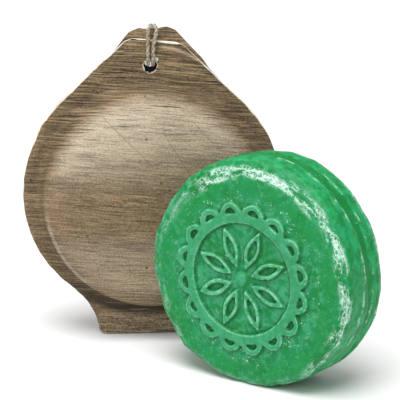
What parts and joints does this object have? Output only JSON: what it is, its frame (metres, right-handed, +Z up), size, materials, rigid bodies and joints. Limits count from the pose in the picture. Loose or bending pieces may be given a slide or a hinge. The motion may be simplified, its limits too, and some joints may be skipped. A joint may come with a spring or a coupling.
{
  "type": "shaving soap puck",
  "caption": "Round shaving soap puck with a raised rosette, standing before its own pressed palm-leaf case, whose front shell swings on the twine tie.",
  "frame": {"origin": "centre of the flat foot edge that the case's back shell stands on", "axes": "-Y is the front, towards the viewer and the puck; +X is to the viewer's right; +Z is up"},
  "size_m": [0.1162, 0.0957, 0.1139],
  "materials": {
    "soap": "waxy green soap with a pale dry bloom on its worn rim",
    "palm_leaf": "matte, dry pressed palm leaf with fine cross grain",
    "twine": "matte two-ply natural twine"
  },
  "bodies": {
    "case_back": {"back_shell": "palm_leaf", "twine_loop": "twine", "twine_knot": "twine", "twine_tail_left": "twine", "twine_tail_right": "twine"},
    "front_leaf": {"front_shell": "palm_leaf"},
    "puck": {"soap_puck": "soap"}
  },
  "joints": [
    {"name": "front_swing", "type": "hinge", "parent": "case_back", "child": "front_leaf", "pos_m": [0, -0.0009, 0.098], "axis": [0, 1, 0], "range_deg": [-50, 50]},
    {"name": "puck_lift", "type": "slide", "parent": "case_back", "child": "puck", "axis": [0, 0, 1], "range_m": [0, 0.12]}
  ]
}
